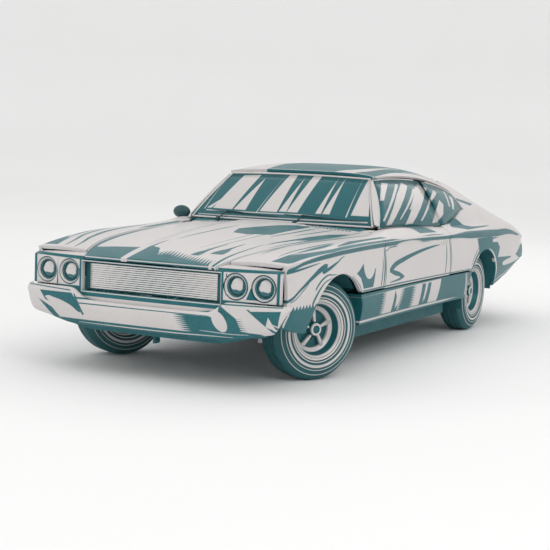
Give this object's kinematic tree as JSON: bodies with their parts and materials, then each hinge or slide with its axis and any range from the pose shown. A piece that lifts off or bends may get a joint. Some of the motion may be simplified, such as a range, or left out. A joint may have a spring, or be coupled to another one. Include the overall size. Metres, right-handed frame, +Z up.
{
  "type": "two-door hardtop coupe",
  "caption": "Two-door hardtop coupe with a long hood, hollow cabin and trunk, opening doors, hood and trunk lid, steered front wheels and rolling wheels.",
  "frame": {"origin": "on the ground midway between the bumpers, on the centre line", "axes": "+X forward, +Y to the car's left, +Z up"},
  "size_m": [5.14, 1.9726, 1.3704],
  "materials": {
    "body_paint": "gloss",
    "accent_paint": "gloss",
    "underbody": "satin",
    "chrome": "polished",
    "rim": "satin",
    "tyre": "matte",
    "glass": "clear",
    "lamp_red": "gloss",
    "interior_trim": "matte",
    "upholstery": "satin",
    "cast_block": "matte",
    "bare_steel": "satin"
  },
  "bodies": {
    "body": {"chassis_frame": "underbody", "cross_members": "underbody", "floor_pan": "underbody", "rocker_panels": "accent_paint", "front_fenders": "body_paint", "quarter_panels": "body_paint", "roof": "body_paint", "windshield_pillars": "body_paint", "cowl": "body_paint", "rear_deck_panel": "body_paint", "package_shelf": "interior_trim", "tail_panel": "body_paint", "front_bumper": "chrome", "rear_bumper": "chrome", "nose_panel": "body_paint", "grille": "chrome", "headlamps": "chrome", "tail_lamps": "lamp_red", "front_valance": "accent_paint", "fixed_glass": "glass", "dashboard": "interior_trim", "front_seats": "upholstery", "rear_seat": "upholstery", "engine": "cast_block", "driveline": "cast_block", "rear_axle": "underbody", "exhaust": "bare_steel", "fuel_tank": "underbody", "suspension": "bare_steel", "wheelhouses": "underbody"},
    "door_left": {"door_left": "body_paint", "door_glass_left": "glass"},
    "door_right": {"door_right": "body_paint", "door_glass_right": "glass", "door_mirror": "chrome"},
    "hood": {"hood": "body_paint"},
    "trunk_lid": {"trunk_lid": "body_paint"},
    "steer_left": {"knuckle_left": "bare_steel"},
    "steer_right": {"knuckle_right": "bare_steel"},
    "relay": {"tie_rods": "bare_steel"},
    "steering_wheel": {"steering_wheel": "interior_trim"},
    "wheel_front_left": {"tyre_front_left": "tyre", "rim_front_left": "rim"},
    "wheel_front_right": {"tyre_front_right": "tyre", "rim_front_right": "rim"},
    "wheel_rear_left": {"tyre_rear_left": "tyre", "rim_rear_left": "rim"},
    "wheel_rear_right": {"tyre_rear_right": "tyre", "rim_rear_right": "rim"}
  },
  "joints": [
    {"name": "door_left_hinge", "type": "hinge", "parent": "body", "child": "door_left", "pos_m": [0.935, 0.933, 0.7], "axis": [0, 0, -1], "range_deg": [0, 62]},
    {"name": "door_right_hinge", "type": "hinge", "parent": "body", "child": "door_right", "pos_m": [0.935, -0.933, 0.7], "axis": [0, 0, 1], "range_deg": [0, 62]},
    {"name": "hood_hinge", "type": "hinge", "parent": "body", "child": "hood", "pos_m": [0.905, 0, 0.95], "axis": [0, -1, 0], "range_deg": [0, 48]},
    {"name": "trunk_hinge", "type": "hinge", "parent": "body", "child": "trunk_lid", "pos_m": [-1.78, 0, 0.961], "axis": [0, 1, 0], "range_deg": [0, 60]},
    {"name": "steer_left", "type": "hinge", "parent": "body", "child": "steer_left", "pos_m": [1.73, 0.69, 0.33], "axis": [0, 0, 1], "range_deg": [-7, 63]},
    {"name": "steer_right", "type": "hinge", "parent": "body", "child": "steer_right", "pos_m": [1.73, -0.69, 0.33], "axis": [0, 0, 1], "range_deg": [-7, 63]},
    {"name": "relay_slide", "type": "slide", "parent": "body", "child": "relay", "axis": [0, 1, 0], "range_m": [-0.10456, 0.01171]},
    {"name": "steering_wheel_turn", "type": "hinge", "parent": "body", "child": "steering_wheel", "pos_m": [0.415, 0.35, 0.83], "axis": [-0.9135, 0, 0.4067], "range_deg": [-98.5, 882.5]},
    {"name": "wheel_front_left_spin", "type": "hinge", "parent": "steer_left", "child": "wheel_front_left", "pos_m": [1.76286, 0.75181, 0.33], "axis": [0.4695, 0.8829, 0], "continuous": true},
    {"name": "wheel_rear_left_spin", "type": "hinge", "parent": "body", "child": "wheel_rear_left", "pos_m": [-1.21, 0.76, 0.33], "axis": [0, 1, 0], "continuous": true},
    {"name": "wheel_front_right_spin", "type": "hinge", "parent": "steer_right", "child": "wheel_front_right", "pos_m": [1.69714, -0.75181, 0.33], "axis": [0.4695, 0.8829, 0], "continuous": true},
    {"name": "wheel_rear_right_spin", "type": "hinge", "parent": "body", "child": "wheel_rear_right", "pos_m": [-1.21, -0.76, 0.33], "axis": [0, 1, 0], "continuous": true}
  ],
  "couplings": [
    {"joint": "steer_right", "follows": "steer_left", "ratio": 1},
    {"joint": "relay_slide", "follows": "steer_left", "m_per_rad": -0.095},
    {"joint": "steering_wheel_turn", "follows": "steer_left", "ratio": 14}
  ]
}
